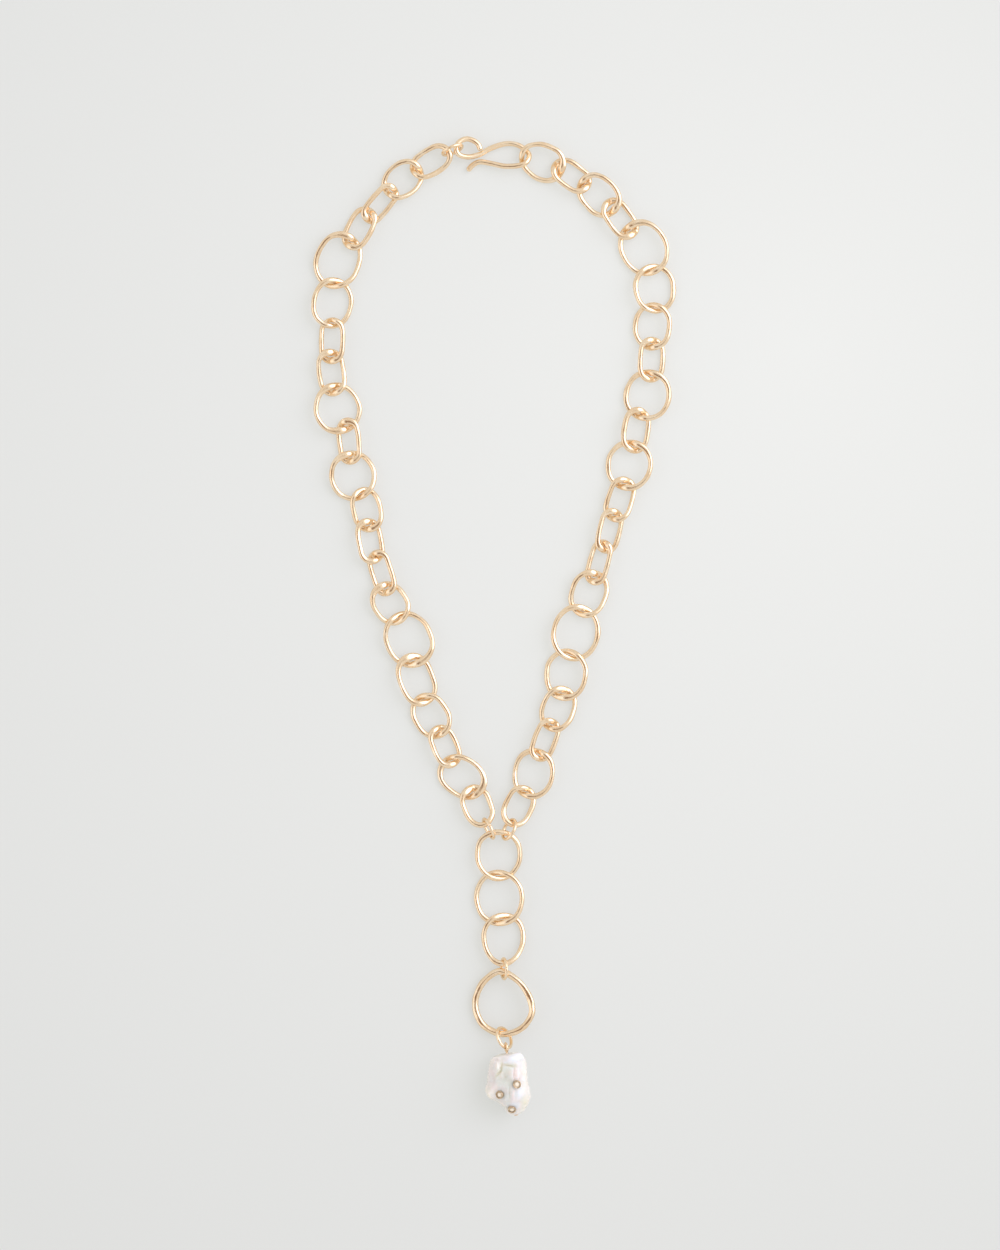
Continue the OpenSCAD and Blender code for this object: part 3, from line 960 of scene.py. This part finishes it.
def stone(number, row):
    """A round brilliant: table, star, kite and girdle facets over a pointed pavilion."""
    girdle = SETTING_D / 2 - SETTING_WALL - 0.12
    # Share of the girdle's radius, height, corners and turn of each ring of the cut
    rings = [
        (0.56, 0.02, 8, 0), (0.8, -0.12, 8, 22.5), (1, -0.4, 16, 0), (1, -0.47, 16, 0),
        (0.5, -0.8, 8, 22.5),
    ]
    point = (0, 0, -1.12)
    place = setting_place(row) @ Matrix.Rotation(math.radians(17 * number), 4, "Z")
    bm = bmesh.new()
    for share, z, count, turn in rings:
        for k in range(count):
            bm.verts.new(place @ on_circle(share * girdle, math.radians(turn + 360 * k / count), z))
    bm.verts.new(place @ Vector(point))
    bmesh.ops.convex_hull(bm, input=bm.verts)
    bmesh.ops.scale(bm, vec=(MM, MM, MM), verts=bm.verts)
    bmesh.ops.recalc_face_normals(bm, faces=bm.faces)
    mesh = bpy.data.meshes.new(f"stone_cut_{number}")
    bm.to_mesh(mesh)
    bm.free()
    mesh.materials.append(CRYSTAL)
    carry(new_piece(mesh.name, mesh), f"stone_{number}")


# Floor, light and camera, in metres

FLOOR_HALF = 1.6
FLOOR_TONE = 0.37
FLOOR_GLOW = 1.32
# A painted pool of light on the floor: where the floor is brightest, how far off it is dullest, and its
# tone there against here
FLOOR_LIGHT_POOL_AT = (0.11, 0.1, 0)
FLOOR_LIGHT_POOL_REACH = 0.42
FLOOR_LIGHT_POOL_FALLOFF = 0.85
# Red and blue of the paper against its green
PAPER_RED = 0.985
PAPER_BLUE = 0.965

# The room's walls and ceiling, and how high up the one goes over into the other
WALL = (0.83, 0.83, 0.84)
CEILING = (0.88, 0.88, 0.88)
WALL_TOP = 0.7
CEILING_FROM = 0.92
# Direction, half angle and soft edge in degrees, and brightness of each window and dark curtain
WINDOWS = [
    ((0.8, 0.35, 0.62), 18, 18, (2.8, 2.7, 3.05)), ((-0.9, -0.2, 0.5), 14, 20, (1.25, 1.22, 1.25)),
    ((-0.28, -0.16, 0.94), 10, 15, (0.24, 0.13, 0.06)),
]

# Middle of the view on the floor, level of the wires, and height of floor that the view takes in
VIEW_AT = (0.0023, 0.0007)
VIEW_LEVEL = 0.002
VIEW_HIGH = 0.45


def floor():
    """A pale sheet with a glow of its own that thins the shadows on it, and a painted pool of light: its
    tone and glow are brightest towards the light and fade away from it.
    """
    side = FLOOR_HALF
    mesh = bpy.data.meshes.new("floor")
    mesh.from_pydata(
        [(-side, -side, 0), (side, -side, 0), (side, side, 0), (-side, side, 0)], [], [(0, 1, 2, 3)]
    )
    material, t, shader, place = new_finish("pale_paper")
    # Painted pool of light: the paper's tone and glow fall off with distance from the brightest spot
    away = t.add("ShaderNodeVectorMath", {0: place, 1: FLOOR_LIGHT_POOL_AT}, operation="DISTANCE")
    light_pool = t.add(
        "ShaderNodeMapRange",
        {"Value": away.outputs["Value"], "From Max": FLOOR_LIGHT_POOL_REACH,
         "To Min": FLOOR_TONE, "To Max": FLOOR_TONE * FLOOR_LIGHT_POOL_FALLOFF},
    ).outputs[0]
    tone = t.maths("MULTIPLY", light_pool, span(t, noise_at(t, place, 900, 2), 0.995, 1.005))
    red, blue = t.maths("MULTIPLY", tone, PAPER_RED), t.maths("MULTIPLY", tone, PAPER_BLUE)
    paper = t.add("ShaderNodeCombineColor", {"Red": red, "Green": tone, "Blue": blue}).outputs[0]
    t.link(paper, shader.inputs["Base Color"])
    t.link(paper, shader.inputs["Emission Color"])
    even_finish(shader, Emission_Strength=FLOOR_GLOW, Roughness=0.9, Specular_IOR_Level=0.1)
    mesh.materials.append(material)
    new_piece("floor", mesh)


def studio():
    """Pale walls under a slightly paler ceiling, a large soft window on the right, a weaker one on
    the left, and a small dark curtain overhead that draws a thin brown line on the gold."""
    world = bpy.data.worlds.new("studio")
    world.use_nodes = True
    bpy.context.scene.world = world
    t = Tree(world.node_tree)
    background = world.node_tree.nodes["Background"]
    way = t.add("ShaderNodeTexCoord").outputs["Generated"]
    height = t.add("ShaderNodeSeparateXYZ", {"Vector": way}).outputs["Z"]
    lit = ramp(t, height, [(0.0, WALL), (WALL_TOP, WALL), (CEILING_FROM, CEILING), (1.0, CEILING)])
    for towards, half_angle, edge, colour in WINDOWS:
        facing = t.add(
            "ShaderNodeVectorMath", {0: way, 1: Vector(towards).normalized()}, operation="DOT_PRODUCT"
        ).outputs["Value"]
        share = t.add(
            "ShaderNodeMapRange",
            {"Value": facing, "From Min": math.cos(math.radians(half_angle + edge)),
             "From Max": math.cos(math.radians(half_angle))},
            interpolation_type="SMOOTHSTEP",
        ).outputs[0]
        lit = blend_colour(t, share, lit, (*colour, 1))
    t.link(lit, background.inputs["Color"])
    background.inputs["Strength"].default_value = 1.0


def camera():
    """Looks straight down from far off, so that the necklace shows almost without perspective."""
    lens = bpy.data.cameras.new("overhead")
    lens.sensor_fit = "VERTICAL"
    lens.sensor_height = 36
    lens.lens = 150
    eye = bpy.data.objects.new("overhead", lens)
    eye.location = (*VIEW_AT, VIEW_HIGH * lens.lens / lens.sensor_height + VIEW_LEVEL)
    bpy.context.scene.collection.objects.link(eye)
    bpy.context.scene.camera = eye
    bpy.context.scene.view_settings.view_transform = "Standard"


# The whole necklace, and the stage round it

chains()
drop_rings()
big_ring()
hook()
jump_rings()
head_pin()
pearl()
for number, row in enumerate(SETTINGS, 1):
    setting(number, row)
    stone(number, row)

floor()
studio()
camera()
